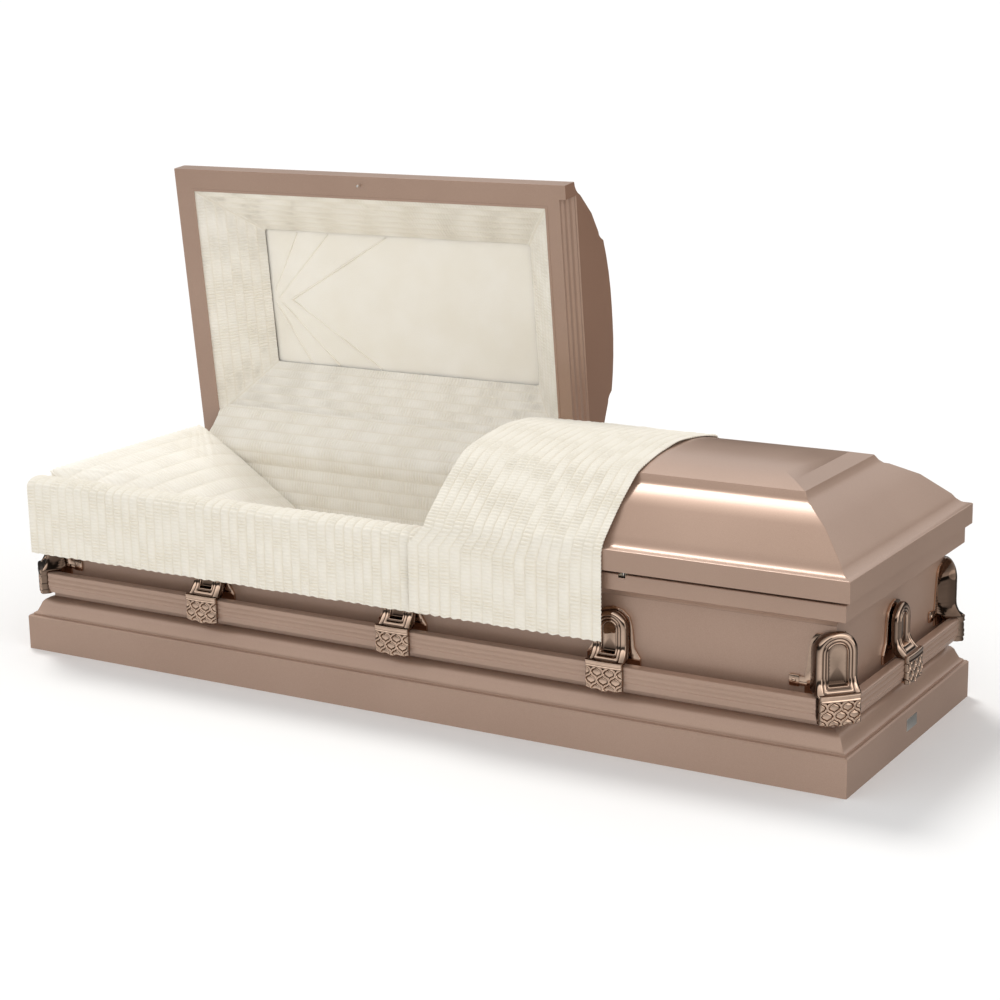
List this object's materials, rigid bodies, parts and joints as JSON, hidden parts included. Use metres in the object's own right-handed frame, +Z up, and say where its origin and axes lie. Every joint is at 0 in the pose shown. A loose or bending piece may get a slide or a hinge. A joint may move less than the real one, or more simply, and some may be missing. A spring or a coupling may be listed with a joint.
{
  "type": "funeral casket",
  "caption": "Half-couch steel burial casket with an open hinged head lid, a shut foot lid, fixed carrying bars in cast arms and a crepe interior with pillow, apron and overthrow.",
  "frame": {"origin": "centre of the flat underside of the base", "axes": "+X along the length to the foot end, +Y to the rear where the lids are hinged, +Z up"},
  "size_m": [2.1272, 0.8819, 1.0996],
  "materials": {
    "casket_paint": "rose-bronze metallic enamel, satin gloss",
    "bronze_plating": "polished rose-bronze plating",
    "bright_steel": "satin",
    "black_rubber": "matt",
    "ivory_crepe": "gathered crepe",
    "ivory_satin": "smooth satin weave"
  },
  "bodies": {
    "case": {"casket_base": "casket_paint", "casket_walls": "casket_paint", "casket_rim": "casket_paint", "rim_seal": "black_rubber", "foot_end_plate": "bright_steel", "wall_lining": "ivory_crepe", "mattress": "ivory_satin", "pillow": "ivory_crepe", "apron": "ivory_crepe", "head_outer_hinge_body_leaf": "bright_steel", "head_inner_hinge_body_leaf": "bright_steel", "foot_outer_hinge_body_leaf": "bright_steel", "foot_inner_hinge_body_leaf": "bright_steel", "front_bar": "casket_paint", "rear_bar": "casket_paint", "head_end_bar": "casket_paint", "foot_end_bar": "casket_paint", "front_head_arm": "bronze_plating", "front_middle_arm": "bronze_plating", "front_foot_arm": "bronze_plating", "rear_head_arm": "bronze_plating", "rear_middle_arm": "bronze_plating", "rear_foot_arm": "bronze_plating", "head_end_arm": "bronze_plating", "foot_end_arm": "bronze_plating", "front_head_corner_arm": "bronze_plating", "front_foot_corner_arm": "bronze_plating", "rear_head_corner_arm": "bronze_plating", "rear_foot_corner_arm": "bronze_plating", "front_head_lug": "bronze_plating", "front_middle_lug": "bronze_plating", "front_foot_lug": "bronze_plating", "rear_head_lug": "bronze_plating", "rear_middle_lug": "bronze_plating", "rear_foot_lug": "bronze_plating", "head_end_lug": "bronze_plating", "foot_end_lug": "bronze_plating", "front_head_corner_lug": "bronze_plating", "front_foot_corner_lug": "bronze_plating", "rear_head_corner_lug": "bronze_plating", "rear_foot_corner_lug": "bronze_plating"},
    "head_lid_body": {"head_lid": "casket_paint", "head_lid_border": "ivory_crepe", "head_lid_lining_panel": "ivory_satin", "head_lid_pin": "bright_steel", "rear_gusset": "ivory_crepe", "head_outer_hinge_lid_leaf": "bright_steel", "head_inner_hinge_lid_leaf": "bright_steel"},
    "foot_lid_body": {"foot_lid": "casket_paint", "foot_lid_front_border": "ivory_crepe", "foot_lid_end_border": "ivory_crepe", "foot_lid_rear_border": "ivory_crepe", "foot_lid_split_border": "ivory_crepe", "foot_lid_lining_panel": "ivory_satin", "foot_lid_pin": "bright_steel", "overthrow": "ivory_crepe", "foot_outer_hinge_lid_leaf": "bright_steel", "foot_inner_hinge_lid_leaf": "bright_steel"}
  },
  "joints": [
    {"name": "head_lid_hinge", "type": "hinge", "parent": "case", "child": "head_lid_body", "pos_m": [-0.484, 0.3555, 0.392], "axis": [-1, 0, 0], "range_deg": [-84, 0], "deforming": ["apron"]},
    {"name": "foot_lid_hinge", "type": "hinge", "parent": "case", "child": "foot_lid_body", "pos_m": [0.57, 0.3555, 0.392], "axis": [-1, 0, 0], "range_deg": [0, 84]}
  ]
}
